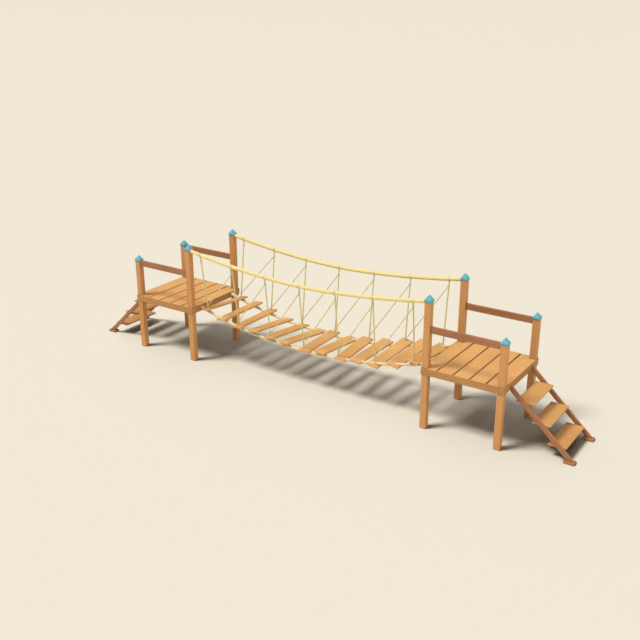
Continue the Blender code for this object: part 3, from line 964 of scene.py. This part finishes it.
def deck_screws(side, sx):
    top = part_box(f"deck_{side}")[1].z
    inner, pitch, joists_y = deck_layout(side)
    spots = []
    for index in range(DECK_BOARDS):
        middle = inner + (index + 0.5) * pitch - DECK_BOARD_GAP / 2
        # Posts stand at the ends of the first and last boards, so these have screws in the middle only
        for y in (0.0,) if index in (0, DECK_BOARDS - 1) else joists_y:
            for step in (-DECK_SCREW_STEP, DECK_SCREW_STEP):
                spots.append(((sx * (middle + step), y, top), "up"))
    return spots


def frame_screws(side):
    low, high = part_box(f"frame_{side}")
    heights = (low.z + FRAME_SCREW_INSET, high.z - FRAME_SCREW_INSET)
    spots = []
    for row, face in (("near", low.y + HEAD_ROOM), ("far", high.y - HEAD_ROOM)):
        for kind in KINDS:
            post_low, post_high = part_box(f"{kind}_post_{side}_{row}")
            spots += [(((post_low.x + post_high.x) / 2, face, z), row) for z in heights]
    for x, way in ((low.x + HEAD_ROOM, "left"), (high.x - HEAD_ROOM, "right")):
        spots += [((x, y, z), way) for y in (-POST_Y, 0.0, POST_Y) for z in heights]
    return spots


print(len(deck_screws("left", -1)), "screws in a deck,", len(frame_screws("left")), "in a frame")

# %% Screws in the stairs
TREAD_SCREW_STEP = 0.02


def tread_screws(side, sx):
    spots = []
    for index in range(TREADS):
        low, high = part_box(f"tread_{side}_{index + 1}")
        z = (low.z + high.z) / 2
        for row, sy in ROWS.items():
            low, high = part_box(f"stringer_{side}_{row}")
            along = min(abs(low.x), abs(high.x)) + (high.z - z) / math.tan(STAIR_SLOPE) - HALF_LEVEL
            y = sy * (STRING_Y + STRING_THICKNESS / 2)
            for step in (-TREAD_SCREW_STEP, TREAD_SCREW_STEP):
                x = sx * (along + step * math.cos(STAIR_SLOPE))
                spots.append(((x, y, z - step * math.sin(STAIR_SLOPE)), row))
    return spots


screws = []
for side, sx in SIDES.items():
    screws += deck_screws(side, sx) + frame_screws(side) + tread_screws(side, sx)
print(len(screws), "screws")

# %% [markdown]
# ## The look of zinc-plated steel
# Zinc plating is a pale grey metal with a faint mottle, dull enough to blur what it mirrors.

# %% Screw finish
def screw_finish():
    material, add, shader = new_finish("zinc_plated_steel")
    spots, colour = mottle(add, 400.0, 2.0, "8E8A82", "C4C0B6")
    gloss = add("MapRange", {"Value": spots, "To Min": 0.35, "To Max": 0.55})[0]
    feed(shader, {"Base Color": colour, "Roughness": gloss, "Metallic": 1.0})
    return material


zinc = screw_finish()

# %% Drive the screws
screws_piece = set_copies("screws", one_screw, [spot for spot, _ in screws],
                          [FACE_TURNS[way] for _, way in screws], zinc)
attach(screws_piece, "root")

# %% [markdown]
# ## Floor, light and camera
# The bridge stands on a plain cream floor that reaches to the horizon, in front of a backdrop of the same
# colour. A studio would light it with big soft boxes. Each box is a sun lamp here, because a sun as wide as
# the box looks from the bridge gives the same soft shadow all along its nine metres.
#
# The floor's shadows are deep and grey, while the shaded sides of the timber are bright. Light linking
# gives both: a lamp can be told which objects it reaches. The main box stands high in front on the left.
# On the floor it has a very wide, weak partner on the left, whose shadow is a faint halo. The bridge gets
# less of the main box, and a soft fill from the right instead.
#
# Light that falls off warm timber would tint the shadows brown, so each lamp has a limit on its bounces.
# The floor's lamps may bounce once, up to the timber, and the bridge's lamps not at all.
#
# The camera was fitted to the straight edges of the platforms: a 50 mm lens, 21 degrees down, turned 34
# degrees from the bridge's side.

# %% Floor
FLOOR_REACH = 400
corners = [(x * FLOOR_REACH, y * FLOOR_REACH, 0) for x, y in ((-1, -1), (1, -1), (1, 1), (-1, 1))]
floor = mesh_object("floor", corners, faces=[(0, 1, 2, 3)])
floor_finish, _, floor_shader = new_finish("matt_cream_paint")
feed(floor_shader, {"Base Color": linear("E3DBCA"), "Roughness": 0.95, "Specular IOR Level": 0.1})
floor.data.materials.append(floor_finish)

# %% Light
FLOOR_LIGHT = 3.84
SKY_SHARE = 0.02
world = bpy.data.worlds.new("even sky")
bpy.context.scene.world = world
world.use_nodes = True
sky = world.node_tree.nodes["Background"]
feed(sky, {"Color": linear("D8E8FF"), "Strength": SKY_SHARE * FLOOR_LIGHT / math.pi})
backdrop = add_node(world.node_tree, "Background", {"Color": linear("F0E6D4"), "Strength": 1.0})[0]
seen = add_node(world.node_tree, "LightPath")["Is Camera Ray"]
both = add_node(world.node_tree, "MixShader", [seen, sky.outputs[0], backdrop])[0]
feed(world.node_tree.nodes["World Output"], {"Surface": both})


def soft_box(name, azimuth, elevation, width, share, hex_colour, link, bounces):
    """A sun lamp for a soft box. It reaches the floor alone (INCLUDE), or everything else (EXCLUDE)."""
    data = bpy.data.lights.new(name, "SUN")
    data.energy = share * FLOOR_LIGHT / math.sin(math.radians(elevation))
    data.angle = math.radians(width)
    data.color = linear(hex_colour)[:3]
    data.cycles.max_bounces = bounces
    lamp = into_scene(name, data)
    lamp.rotation_euler = Euler((0, math.radians(90 - elevation), math.radians(azimuth)))
    group = bpy.data.collections.new(name + " and floor")
    group.objects.link(floor)
    lamp.light_linking.receiver_collection = group
    group.collection_objects[0].light_linking.link_state = link
    print(name, "gives", share, "of the light")


# Azimuth, elevation and width in degrees, share of the floor's light, colour, what it reaches, bounces
soft_box("main soft box for the floor", 226, 60, 18, 0.68, "FFFEFC", "INCLUDE", 1)
soft_box("wide soft box for the floor", 180, 65, 100, 0.25, "FFFEFC", "INCLUDE", 1)
soft_box("main soft box for the bridge", 226, 60, 20, 0.45, "FFFCF4", "EXCLUDE", 0)
soft_box("fill for the bridge", -15, 60, 120, 0.45, "FFF8EC", "EXCLUDE", 0)
bpy.context.scene.view_settings.view_transform = "Standard"

# %% Camera
LOOK_DOWN = 21.115
TURN_FROM_SIDE = 33.803
CAMERA_PLACE = (7.6574, -11.4300, 6.3710)
camera_data = bpy.data.cameras.new("camera")
camera_data.lens = 50
camera_data.sensor_width = 36
camera_data.clip_end = 2000
camera = into_scene("camera", camera_data)
camera.location = CAMERA_PLACE
camera.rotation_euler = Euler((math.radians(90 - LOOK_DOWN), 0, math.radians(TURN_FROM_SIDE)))
bpy.context.scene.camera = camera
print("the camera is", round(camera.location.length, 1), "m from the bridge's middle")
